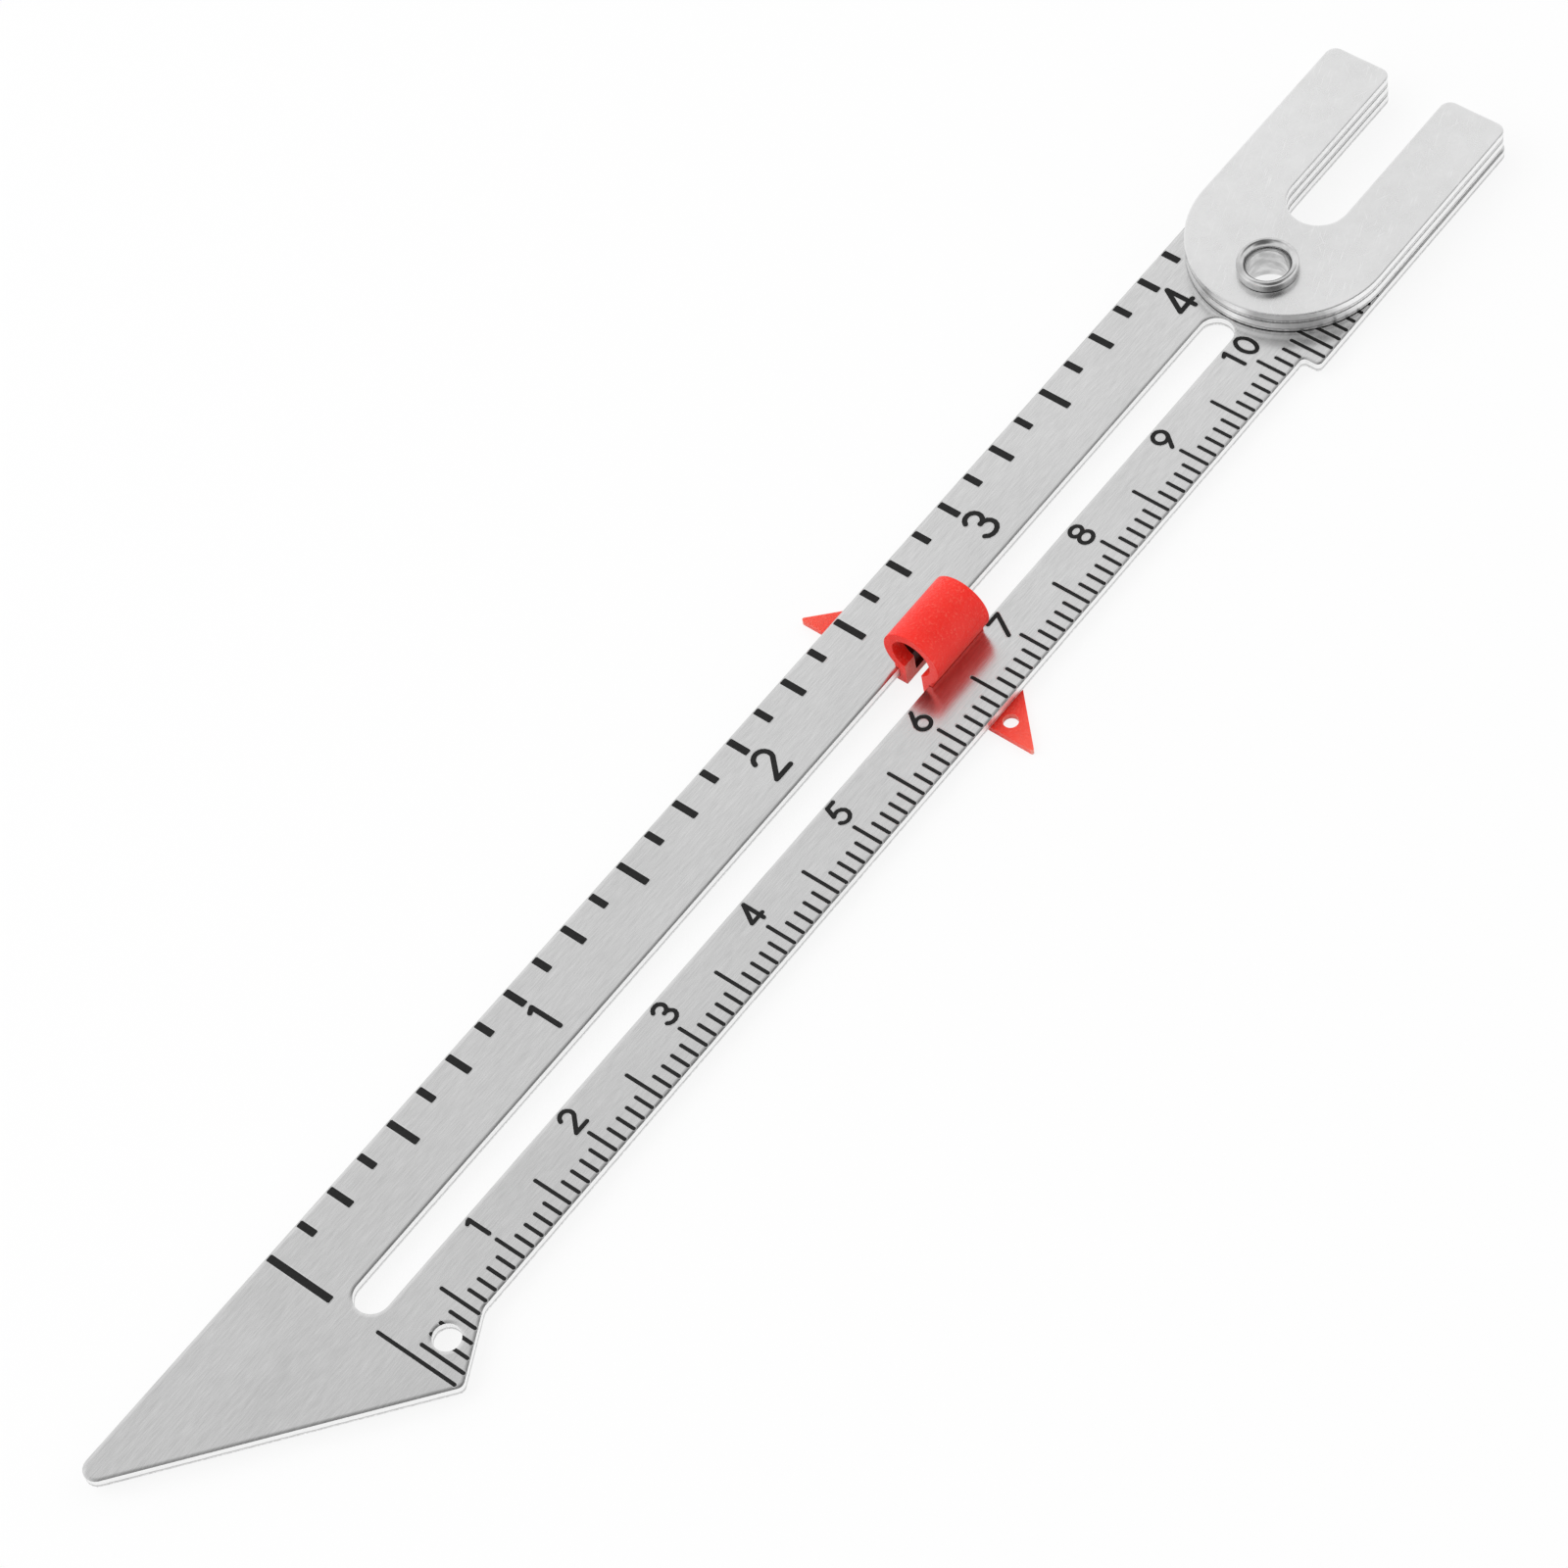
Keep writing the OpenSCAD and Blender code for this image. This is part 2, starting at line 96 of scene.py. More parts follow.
# %% Material helpers
class Finish:
    """A new material with its Principled shader and quick ways to wire textures into it."""

    def __init__(self, name, **sockets):
        self.material = bpy.data.materials.new(name)
        self.material.use_nodes = True
        self.tree = self.material.node_tree
        self.shader = self.tree.nodes["Principled BSDF"]
        for socket, value in sockets.items():
            self.shader.inputs[socket.replace("_", " ")].default_value = value
        self.coords = self.tree.nodes.new("ShaderNodeTexCoord").outputs["Object"]

    def node(self, kind, **settings):
        made = self.tree.nodes.new("ShaderNode" + kind)
        for name, value in settings.items():
            setattr(made, name, value)
        return made

    def link(self, source, target):
        self.tree.links.new(source, target)

    def grain(self, size_mm, detail=2.0, rough=0.5, seed=0.0):
        """Noise whose features are size_mm long, wide and high."""
        mapping = self.node("Mapping")
        mapping.inputs["Scale"].default_value = [1.0 / (s * MM) for s in size_mm]
        mapping.inputs["Location"].default_value = (seed, seed * 0.7, seed * 1.3)
        self.link(self.coords, mapping.inputs["Vector"])
        noise = self.node("TexNoise")
        noise.inputs["Scale"].default_value = 1.0
        noise.inputs["Detail"].default_value = detail
        noise.inputs["Roughness"].default_value = rough
        self.link(mapping.outputs["Vector"], noise.inputs["Vector"])
        return noise.outputs["Fac"]

    def spread(self, source, low, high, out_low=0.0, out_high=1.0):
        """Stretches the range low..high of a texture to out_low..out_high."""
        ramp = self.node("MapRange")
        for socket, value in zip(("From Min", "From Max", "To Min", "To Max"),
                                 (low, high, out_low, out_high)):
            ramp.inputs[socket].default_value = value
        self.link(source, ramp.inputs["Value"])
        return ramp.outputs["Result"]

    def sum_of(self, first, second, share):
        """first + share * second"""
        add = self.node("Math", operation="MULTIPLY_ADD")
        add.inputs[1].default_value = share
        self.link(second, add.inputs[0])
        self.link(first, add.inputs[2])
        return add.outputs["Value"]

    def mixed(self, factor, first, second):
        """A colour between two: each is a colour or a socket."""
        mix = self.node("Mix", data_type="RGBA")
        a, b = [s for s in mix.inputs if s.type == "RGBA"]
        for socket, value in ((a, first), (b, second)):
            if hasattr(value, "is_linked"):
                self.link(value, socket)
            else:
                socket.default_value = (*value, 1.0)
        self.link(factor, mix.inputs[0])
        return [s for s in mix.outputs if s.type == "RGBA"][0]

    def bump(self, height, depth_mm):
        made = self.node("Bump")
        made.inputs["Strength"].default_value = 1.0
        made.inputs["Distance"].default_value = depth_mm * MM
        self.link(height, made.inputs["Height"])
        self.link(made.outputs["Normal"], self.shader.inputs["Normal"])


def grey(level):
    """One level for red, green and blue."""
    return (level, level, level)


NOISE_MOST = (0.3, 0.7)
print("most of a noise lies between", NOISE_MOST)

# %% [markdown]
# Brushed aluminium
#
# The blade is rolled sheet that was brushed along its length, so it shows hair-thin streaks
# a few millimetres long, and soft clouds of lighter and darker metal. Two noises stretched
# along X make the streaks, one finer than the other, and a broad noise makes the clouds.
# The same streaks drive a little bump, which pulls reflections out across the brushing.

# %% Blade finish
BRUSHING_MOST = (0.6, 1.1)
blade_metal = Finish("brushed_blade_metal", Metallic=1.0)
streaks = blade_metal.grain((1.3, 0.10, 0.10), detail=3.0, rough=0.6, seed=3.1)
wide_streaks = blade_metal.grain((3.5, 0.30, 0.30), detail=2.0, seed=7.7)
clouds = blade_metal.grain((9.0, 5.0, 5.0), detail=3.0, seed=1.9)
brushing = blade_metal.sum_of(streaks, wide_streaks, 0.4)
brushing = blade_metal.sum_of(brushing, clouds, 0.3)
tone = blade_metal.spread(brushing, *BRUSHING_MOST)
blade_colour = blade_metal.mixed(tone, grey(0.60), grey(0.76))
blade_metal.link(blade_colour, blade_metal.shader.inputs["Base Color"])
blade_metal.link(blade_metal.spread(brushing, *BRUSHING_MOST, 0.19, 0.27),
                 blade_metal.shader.inputs["Roughness"])
blade_metal.bump(streaks, 0.002)
print("blade finish:", len(blade_metal.tree.nodes), "nodes")

# %% [markdown]
# Plain plate aluminium
#
# The two spacer plates are brighter sheet with no brushing. They carry short fine scratches
# in several directions, from swinging over each other and over the blade. A noise that is
# turned, then stretched very thin, and of which only the highest peaks are kept, is a cheap
# way to draw them.

# %% Plate finish
SCRATCH_RIM, SCRATCH_LIGHT = 0.07, 0.5
ALONG_Z = 25.0
plate_metal = Finish("plain_plate_metal", Metallic=1.0)
mottle = plate_metal.grain((1.6, 1.6, 1.6), detail=5.0, rough=0.65, seed=5.0)
haze = plate_metal.grain((9.0, 9.0, 9.0), detail=2.0, seed=2.2)
plate_tone = plate_metal.spread(plate_metal.sum_of(mottle, haze, 0.5), 0.55, 1.0)
plate_colour = plate_metal.mixed(plate_tone, grey(0.75), grey(0.86))


def scratches(finish, angle, long_mm, wide_mm, threshold, seed):
    """Sparse thin scratches along one direction, as a mask."""
    turned = finish.node("Mapping")
    turned.inputs["Rotation"].default_value = (0.0, 0.0, math.radians(angle))
    finish.link(finish.coords, turned.inputs["Vector"])
    stretched = finish.node("Mapping")
    stretched.inputs["Scale"].default_value = [1.0 / (s * MM) for s in (long_mm, wide_mm, ALONG_Z)]
    stretched.inputs["Location"].default_value = (seed, seed * 3.0, seed)
    finish.link(turned.outputs["Vector"], stretched.inputs["Vector"])
    noise = finish.node("TexNoise")
    noise.inputs["Scale"].default_value = 1.0
    noise.inputs["Detail"].default_value = 1.0
    finish.link(stretched.outputs["Vector"], noise.inputs["Vector"])
    return finish.spread(noise.outputs["Fac"], threshold, threshold + SCRATCH_RIM,
                         0.0, SCRATCH_LIGHT)


scratch = scratches(plate_metal, -20.0, 1.8, 0.08, 0.66, 1.3)
for angle, seed in ((-50.0, 4.1), (24.0, 6.6)):
    more = scratches(plate_metal, angle, 2.2, 0.07, 0.69, seed)
    scratch = plate_metal.sum_of(scratch, more, 0.8)
plate_colour = plate_metal.mixed(scratch, plate_colour, grey(0.97))
plate_metal.link(plate_colour, plate_metal.shader.inputs["Base Color"])
plate_metal.link(plate_metal.spread(mottle, *NOISE_MOST, 0.24, 0.34),
                 plate_metal.shader.inputs["Roughness"])
plate_metal.bump(plate_metal.sum_of(mottle, scratch, -0.6), 0.003)
print("plate finish:", len(plate_metal.tree.nodes), "nodes")

# %% [markdown]
# Sheared edges
#
# A press cuts the sheet. The punch first burnishes the upper part of the wall, and then the
# rest tears, so each wall has a bright band, a thin dark line and a rougher band with fine
# upright marks. The three sheets lie one pitch apart, so the fraction of the height over the
# pitch tells where a point is in its own sheet. Noise that is narrow along the edge and tall
# up the wall gives the marks, and a coarser one makes the line wander.

# %% Edge finish
edge_metal = Finish("sheared_edge_metal", Metallic=1.0)
SHEET_FOOT, SHEET_PITCH = 0.60 * MM, 0.98 * MM
SHEAR_LINE, ABOVE_LINE, BELOW_LINE = 0.34, 0.44, 0.26
tears = edge_metal.grain((0.20, 0.20, 1.6), detail=3.0, rough=0.6, seed=2.7)
ragged = edge_metal.grain((0.5, 0.5, 2.0), detail=3.0, rough=0.6, seed=5.5)
place = edge_metal.node("SeparateXYZ")
edge_metal.link(edge_metal.coords, place.inputs[0])
above_foot = edge_metal.spread(place.outputs["Z"], SHEET_FOOT, SHEET_FOOT + SHEET_PITCH)
above_foot.node.clamp = False
in_sheet = edge_metal.node("Math", operation="FRACT")
edge_metal.link(above_foot, in_sheet.inputs[0])
shear_line = edge_metal.sum_of(in_sheet.outputs[0], ragged, 0.14)
burnished = edge_metal.spread(shear_line, SHEAR_LINE, ABOVE_LINE)
torn = edge_metal.spread(shear_line, SHEAR_LINE, BELOW_LINE)
torn_colour = edge_metal.mixed(edge_metal.spread(tears, *NOISE_MOST), grey(0.60), grey(0.94))
edge_colour = edge_metal.mixed(burnished, grey(0.50), grey(0.95))
edge_colour = edge_metal.mixed(torn, edge_colour, torn_colour)
edge_metal.link(edge_colour, edge_metal.shader.inputs["Base Color"])
edge_metal.link(edge_metal.spread(tears, *NOISE_MOST, 0.40, 0.58),
                edge_metal.shader.inputs["Roughness"])
edge_metal.bump(tears, 0.007)
print("edge finish:", len(edge_metal.tree.nodes), "nodes")

# %% [markdown]
# Nickel and paint
#
# The rivet is plated metal that a tool has rolled over, so its shine is uneven: a noise
# clouds its grey and dents it slightly. The marks are filled with matt black paint that
# settles unevenly, so a finer noise works on its grey, its roughness and its height.

# %% Nickel and paint
nickel = Finish("nickel_plate", Metallic=1.0, Roughness=0.1)
nickel_tone = nickel.grain((1.2, 1.2, 0.6), detail=3.0, seed=4.0)
nickel.link(nickel.mixed(nickel.spread(nickel_tone, 0.36, 0.66), grey(0.48), grey(0.72)),
            nickel.shader.inputs["Base Color"])
nickel.bump(nickel_tone, 0.02)

paint = Finish("mark_paint", Specular_IOR_Level=0.25)
paint_grain = paint.grain((0.25, 0.25, 0.25), detail=3.0, seed=8.0)
paint.link(paint.mixed(paint.spread(paint_grain, 0.35, 0.7), grey(0.008), grey(0.018)),
           paint.shader.inputs["Base Color"])
paint.link(paint.spread(paint_grain, *NOISE_MOST, 0.5, 0.75), paint.shader.inputs["Roughness"])
paint.bump(paint_grain, 0.01)
print("made", nickel.material.name, "and", paint.material.name)

# %% [markdown]
# Red plastic
#
# The pointer is moulded in a red plastic that lets some light through, with a finely pebbled
# skin, so it takes a little subsurface light and a grainy bump, and the peaks of the pebbles
# are painted paler as glints. Its feet thin out towards their tips, and a paler red is painted
# there for the light that shines through them. One helper makes three reds: the skin, a paler
# red painted on the walls where the plastic is thin, for the light that shines through them,
# and a dark red painted in the hollow behind the ribs as its shade.

# %% Reds
# Between these distances from the middle the red is painted paler, as light shining through the
# thinning feet.
PALE_FROM, PALE_TO = 6.5 * MM, 11.0 * MM


def red_plastic(name, deep, light, glint_and_glow, sheen):
    """Pebbled plastic that clouds from deep to light, with painted glints on the pebbles' peaks and
    a paler red painted towards the pointers' tips as light shining through.
    """
    finish = Finish(name, Roughness=0.38, Subsurface_Weight=0.3, Specular_IOR_Level=sheen)
    finish.shader.inputs["Subsurface Radius"].default_value = (1.2, 0.25, 0.18)
    finish.shader.inputs["Subsurface Scale"].default_value = 0.001
    pebbles = finish.grain((0.20, 0.20, 0.20), detail=2.0, rough=0.65, seed=6.0)
    cloud = finish.grain((2.5, 2.5, 2.5), detail=2.0, seed=3.0)
    colour = finish.mixed(finish.spread(cloud, *NOISE_MOST), deep, light)
    # Painted glints: the highest pebbles are mixed towards a paler red.
    colour = finish.mixed(finish.spread(pebbles, 0.55, 0.74, 0.0, 0.42), colour, glint_and_glow)
    # Painted glow: the red pales towards the tips of the feet, for light shining through thin
    # plastic.
    axes = finish.node("SeparateXYZ")
    finish.link(finish.coords, axes.inputs[0])
    reach = finish.node("Math", operation="ABSOLUTE")
    finish.link(axes.outputs["Y"], reach.inputs[0])
    tip = finish.spread(reach.outputs[0], PALE_FROM, PALE_TO, 0.0, 0.6)
    finish.link(finish.mixed(tip, colour, glint_and_glow), finish.shader.inputs["Base Color"])
    finish.bump(pebbles, 0.09)
    return finish


red_skin = red_plastic("red_plastic_skin", (0.92, 0.020, 0.012), (0.96, 0.034, 0.022),
                       (1.0, 0.20, 0.14), 0.3)
# A paler red painted on thin walls, for the light that shines through them.
red_thin_glow_paint = red_plastic("red_thin_walls_painted_glow", (0.96, 0.13, 0.09), (1.0, 0.22, 0.16),
                       (1.0, 0.42, 0.34), 0.3)
# A dark red painted in the hollow behind the ribs, as the shade that lies there.
red_painted_shade = red_plastic("red_hollow_painted_shade", (0.070, 0.008, 0.007), (0.11, 0.014, 0.012),
                         (0.15, 0.024, 0.020), 0.1)
print("reds:", ", ".join(f.material.name for f in (red_skin, red_thin_glow_paint, red_painted_shade)))

# %% [markdown]
# From a mesh to a piece
#
# Every piece here begins in a bmesh and ends as an object that rides on one body of the
# gauge. Three small helpers do what all pieces need: end a bmesh as an object, join the loose
# triangles of a CAD node, and shade a piece so that its flat faces stay flat.

# %% Piece helpers
MERGE = 0.001 * MM
SHARP, NEARLY_FLAT = math.radians(40), math.radians(0.5)
BIG_FACES_LEAD = 100


def piece_from(bm, name, body, *materials):
    """Ends a bmesh as an object that rides on a body."""
    mesh = bpy.data.meshes.new(name)
    bm.to_mesh(mesh)
    bm.free()
    for finish in materials:
        mesh.materials.append(finish.material)
    made = bpy.data.objects.new(name, mesh)
    bpy.context.scene.collection.objects.link(made)
    if body:
        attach(made, body)
    return made


def merged_copy(node):
    """A CAD node's loose triangles, joined at their corners."""
    bm = bmesh.new()
    bm.from_mesh(nodes[node].data)
    bmesh.ops.remove_doubles(bm, verts=bm.verts, dist=MERGE)
    return bm


def smoothed(piece):
    """Smooth shading that still keeps big flat faces flat and sharp corners sharp."""
    piece.data.polygons.foreach_set("use_smooth", [True] * len(piece.data.polygons))
    piece.data.set_sharp_from_angle(angle=SHARP)
    weighted = piece.modifiers.new("flat faces lead", "WEIGHTED_NORMAL")
    weighted.keep_sharp = True
    weighted.weight = BIG_FACES_LEAD
    return piece


print("corners closer than", MERGE / MM, "mm are merged")

# %% [markdown]
# Sheets with rolled edges
#
# When a press cuts sheet metal, the upper rim is dragged down a little before it shears, so
# the top surface bends away over the last third of a millimetre. That soft bend is what
# catches light and shade along every edge of this ruler. A bevel would cut both faces alike,
# so the bend is made with insets instead: the flat underside of the CAD piece is pulled up
# into a plate, and its top is inset in steps, each step a little higher than the last.

# %% Rolled sheet
ROLL_WIDTH = 0.30 * MM
ROLL_DEPTH = 0.05 * MM
BURR_BEVEL = 0.06 * MM
ROLL_STOPS = (0.0, 0.12, 0.3, 0.58, 1.0)
FACES_DOWN = -0.99
FLAT_SIDE, CUT_WALL = 0, 1


def roll_drop(share):
    """How far the surface lies below the top, at a share of the roll's width."""
    return ROLL_DEPTH * (1.0 - share) ** 2


def rolled_sheet(node, amount=1.0):
    """The CAD sheet's outline as a plate whose top rim rolls off by a share of the full roll."""
    bm = merged_copy(node)
    low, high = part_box(node)
    upper = [f for f in bm.faces if any(v.co.z > low.z + MERGE for v in f.verts)]
    bmesh.ops.delete(bm, geom=upper, context="FACES")
    bmesh.ops.dissolve_limit(bm, angle_limit=NEARLY_FLAT, verts=bm.verts, edges=bm.edges)
    pulled = bmesh.ops.extrude_face_region(bm, geom=bm.faces[:])["geom"]
    top = [g for g in pulled if isinstance(g, bmesh.types.BMFace)]
    raised = [g for g in pulled if isinstance(g, bmesh.types.BMVert)]
    bmesh.ops.translate(bm, vec=(0, 0, high.z - low.z - ROLL_DEPTH * amount), verts=raised)
    foot = [e for e in bm.edges if e.calc_face_angle(0) > SHARP and
            all(v.co.z < low.z + MERGE for v in e.verts)]
    bmesh.ops.bevel(bm, geom=foot, offset=BURR_BEVEL, offset_type="OFFSET", segments=2,
                    profile=0.5, affect="EDGES", material=-1)
    for face in bm.faces:
        face.material_index = CUT_WALL
    for face in top:
        face.material_index = FLAT_SIDE
    for before, after in zip(ROLL_STOPS, ROLL_STOPS[1:]):
        bmesh.ops.inset_region(bm, faces=top, thickness=(after - before) * ROLL_WIDTH * amount,
                               use_boundary=True, use_even_offset=True)
        rise = (roll_drop(before) - roll_drop(after)) * amount
        bmesh.ops.translate(bm, vec=(0, 0, rise), verts=list({v for f in top for v in f.verts}))
    bmesh.ops.recalc_face_normals(bm, faces=bm.faces)
    for face in bm.faces:
        if face.normal.z < FACES_DOWN:
            face.material_index = FLAT_SIDE
    print(node, "sheet:", len(bm.faces), "faces,", sum(not e.is_manifold for e in bm.edges), "open")
    return bm


print("edges roll off over", ROLL_WIDTH / MM, "mm")

# %% [markdown]
# Spacer plates
#
# Both plates are the same stamping, one above the other on the rivet. The same helper
# makes both, with half the roll of the blade, as their rims look
# crisper. Each rides on its own body, so that they can swing apart.

# %% Plates
PLATE_ROLL = 0.5
for node, body in (("middle_spacer_plate", "middle_plate"), ("upper_spacer_plate", "upper_plate")):
    sheet = rolled_sheet(node, PLATE_ROLL)
    plate = piece_from(sheet, node + "_sheet", body, plate_metal, edge_metal)
    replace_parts(smoothed(plate), node)

# %% [markdown]
# The blade and its stamped marks
#
# The marks of both scales are pressed in and filled with paint, and they run out over the
# rolled rim, so they can't be flat patches. The paint starts as the CAD prisms, drawn up
# through the blade's surface, and exact booleans do the rest.

# %% Mark helpers
PAINT_DIP = 0.02 * MM
OVERRUN = 0.2 * MM
FILLS = ("inch_scale_fill", "metric_scale_fill", "inch_numeral_fill", "metric_numeral_fill")


def raised_marks(node):
    """The paint's prisms, drawn up through the blade's surface."""
    bm = merged_copy(node)
    low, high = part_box(node)
    bmesh.ops.dissolve_limit(bm, angle_limit=NEARLY_FLAT, verts=bm.verts, edges=bm.edges)
    upper = [v for v in bm.verts if v.co.z > (low.z + high.z) / 2]
    bmesh.ops.translate(bm, vec=(0, 0, OVERRUN), verts=upper)
    return bm


def boolean(piece, operation, other):
    """Applies an exact boolean, and leaves the result as the piece's mesh."""
    cut = piece.modifiers.new("cut", "BOOLEAN")
    cut.operation, cut.object, cut.solver = operation, other, "EXACT"
    depsgraph = bpy.context.evaluated_depsgraph_get()
    mesh = bpy.data.meshes.new_from_object(piece.evaluated_get(depsgraph))
    piece.modifiers.clear()
    old, piece.data = piece.data, mesh
    bpy.data.meshes.remove(old)


print("paint lies", PAINT_DIP / MM, "mm below the metal")

# %% [markdown]
# Shading that outlives the cutting
#
# A boolean leaves the big top face in many odd polygons, and smooth shading then smears over
# them at the rolled rim. The cure is to remember the normals of the uncut sheet and to give
# the cut sheet the remembered normal at each of its corners. A tree of the upper faces finds
# the nearest one. The faces of the roll have four corners at most, and a blend of their
# corners' normals gives the normal there. The flat middle has many, and its own normal does.

# %% Shading helpers
UPPER_SIDE = 0.8
ROLL_CORNERS = 4


class Surface:
    """The upper side of an uncut sheet, which knows its shading normal at every place."""

    def __init__(self, piece):
        mesh = piece.evaluated_get(bpy.context.evaluated_depsgraph_get()).data
        corners = [Vector(corner.vector) for corner in mesh.corner_normals]
        places = [v.co.copy() for v in mesh.vertices]
        upper = [f for f in mesh.polygons if f.normal.z > UPPER_SIDE]
        self.outlines = [[places[v] for v in f.vertices] for f in upper]
        self.normals = [[corners[i] for i in f.loop_indices] for f in upper]
        self.tree = BVHTree.FromPolygons(places, [tuple(f.vertices) for f in upper])

    def normal_at(self, place):
        nearest, normal, index = self.tree.find_nearest(place)[:3]
        if len(self.outlines[index]) > ROLL_CORNERS:
            return normal
        weights = poly_3d_calc(self.outlines[index], nearest)
        blend = sum((n * w for n, w in zip(self.normals[index], weights)), Vector())
        return blend.normalized()


def shaded_like(piece, surface):
    """Gives the upper side of a cut sheet the normals of the uncut one."""
    mesh = piece.data
    mesh.polygons.foreach_set("use_smooth", [True] * len(mesh.polygons))
    mesh.set_sharp_from_angle(angle=SHARP)
    normals = [Vector(corner.vector) for corner in mesh.corner_normals]
    for face in mesh.polygons:
        for i in face.loop_indices:
            if face.normal.z > UPPER_SIDE:
                normals[i] = surface.normal_at(mesh.vertices[mesh.loops[i].vertex_index].co)
            elif len(face.vertices) > ROLL_CORNERS:
                normals[i] = face.normal
    mesh.normals_split_custom_set(normals)
    return piece


print("normals are kept where a face looks up more than", UPPER_SIDE)

# %% [markdown]
# The blade
#
# The blade starts as the same kind of rolled sheet as the plates. A boolean cuts the pockets,
# and another keeps of each paint prism only what lies in a copy of the blade sunk by the
# paint's dip. Pockets and paint then follow the rim together. All of them ride on the gauge.

# %% Blade
blade = piece_from(rolled_sheet("blade"), "blade_sheet", "gauge", blade_metal, edge_metal)
uncut = bpy.data.objects.new("uncut_blade", blade.data.copy())
bpy.context.scene.collection.objects.link(uncut)
blade_surface = Surface(smoothed(uncut))
bpy.data.objects.remove(uncut)
sunk_bm = bmesh.new()
sunk_bm.from_mesh(blade.data)
bmesh.ops.translate(sunk_bm, vec=(0, 0, -PAINT_DIP), verts=sunk_bm.verts)
sunk = piece_from(sunk_bm, "sunk_blade", None)
for node in FILLS:
    marks = piece_from(raised_marks(node), node + "_paint", "gauge", paint)
    boolean(blade, "DIFFERENCE", marks)
    boolean(marks, "INTERSECT", sunk)
    marks.data.polygons.foreach_set("use_smooth", [False] * len(marks.data.polygons))
    marks.data.materials.clear()
    marks.data.materials.append(paint.material)
    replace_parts(marks, node)
    print(node, "paint:", len(marks.data.polygons), "faces")
bpy.data.objects.remove(sunk)
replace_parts(shaded_like(blade, blade_surface), "blade")
print("blade:", len(blade.data.polygons), "faces")

# %% [markdown]
# Lips round the marks
#
# A punch pushes a little metal up beside each mark, and that lip shows as a fine bright
# outline. A lip near a straight rim has to sink with the rolled edge, and the compass hole
# was pierced after the marks, so no lip stands round it. The places below are those of the
# packed blade.

# %% Lip helpers
BLADE_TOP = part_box("blade")[1].z
INCH_RIM, METRIC_RIM, FORK_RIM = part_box("blade")[1].y, -6.9 * MM, -8.4 * MM
SLANT_POINT, SLANT_END = Vector((-53.9, -9.6)) * MM, -48.7 * MM
SHOULDER = 48.0 * MM
HOLE_MIDDLE, HOLE_RADIUS = Vector((-51.70, -6.28)) * MM, 1.0 * MM
SLANT_INWARD = Vector((-0.454, 0.891))


def sunk_by(x, y):
    """How far the rolled rim lies below the blade's top at a place on it."""
    if x < SLANT_END:
        opposite = (Vector((x, y)) - SLANT_POINT).dot(SLANT_INWARD)
    else:
        opposite = y - (METRIC_RIM if x < SHOULDER else FORK_RIM)
    nearest = max(min(INCH_RIM - y, opposite), 0.0)
    return roll_drop(min(nearest / ROLL_WIDTH, 1.0))


def round_the_hole(place):
    """Whether a place is in the compass hole or on its rolled rim, where no lip is raised."""
    return (place.xy - HOLE_MIDDLE).length < HOLE_RADIUS + ROLL_WIDTH / 2


print("the roll takes a lip down by up to", ROLL_DEPTH / MM, "mm")

# %% [markdown]
# Raising the lips
#
# The walls of the paint prisms already follow every mark. Their upper rims are extruded four
# times along the walls' own normals: outwards and up, outwards along the crest, outwards and
# down, and back under to the start. The walls then go, and the last gaps are filled, which
# leaves a thin closed band round every mark.

# %% Lips
LIP_WIDTH, LIP_HEIGHT, LIP_FOOT = 0.09 * MM, 0.006 * MM, 0.003 * MM
RIM_ZONE, LYING = 0.06 * MM, 0.5
LIP_STEPS = ((0.35, LIP_HEIGHT), (0.35, LIP_HEIGHT), (0.3, -LIP_FOOT), (-1.0, -LIP_FOOT))
lips = bmesh.new()
for node in FILLS:
    part = merged_copy(node)
    flat = [f for f in part.faces if abs(f.normal.z) > LYING]
    bmesh.ops.delete(part, geom=flat, context="FACES")
    temporary = bpy.data.meshes.new("lip_source")
    part.to_mesh(temporary)
    part.free()
    lips.from_mesh(temporary)
    bpy.data.meshes.remove(temporary)
lips.normal_update()
rim_floor = BLADE_TOP - RIM_ZONE
walls = lips.faces[:]
rim = [e for e in lips.edges if e.is_boundary and all(v.co.z > rim_floor for v in e.verts)
       and not any(round_the_hole(v.co) for v in e.verts)]
outward = {v: v.normal.copy() for e in rim for v in e.verts}
for vertex in outward:
    vertex.co.z = BLADE_TOP - sunk_by(vertex.co.x, vertex.co.y) - LIP_FOOT
for width, height in LIP_STEPS:
    grown = bmesh.ops.extrude_edge_only(lips, edges=rim)["geom"]
    rim = [g for g in grown if isinstance(g, bmesh.types.BMEdge)]
    fresh = {g for g in grown if isinstance(g, bmesh.types.BMVert)}
    moved = {}
    for vertex in fresh:
        source = next(e.other_vert(vertex) for e in vertex.link_edges
                      if e.other_vert(vertex) in outward)
        moved[vertex] = outward[source]
    for vertex, direction in moved.items():
        vertex.co += direction * width * LIP_WIDTH
        vertex.co.z = BLADE_TOP - sunk_by(vertex.co.x, vertex.co.y) + height
    outward = moved
bmesh.ops.delete(lips, geom=walls, context="FACES")
loose = [v for v in lips.verts if not v.link_faces]
bmesh.ops.delete(lips, geom=loose, context="VERTS")
bmesh.ops.remove_doubles(lips, verts=lips.verts, dist=MERGE / 2)
bmesh.ops.recalc_face_normals(lips, faces=lips.faces)
bmesh.ops.holes_fill(lips, edges=[e for e in lips.edges if e.is_boundary], sides=6)
print("open lip edges:", sum(not e.is_manifold for e in lips.edges))
lip_piece = piece_from(lips, "mark_lips", "gauge", blade_metal)
lip_piece.data.polygons.foreach_set("use_smooth", [True] * len(lip_piece.data.polygons))
print("lips:", len(lip_piece.data.polygons), "faces")

# %% [markdown]
# The rivet
#
# The rivet is a tube. Its upper end is a tall collar with a round crest and a slope that
# falls into the bore, and its lower end flares out into a thin round flange. One closed
# outline, spun once round the axis, gives the whole of it.

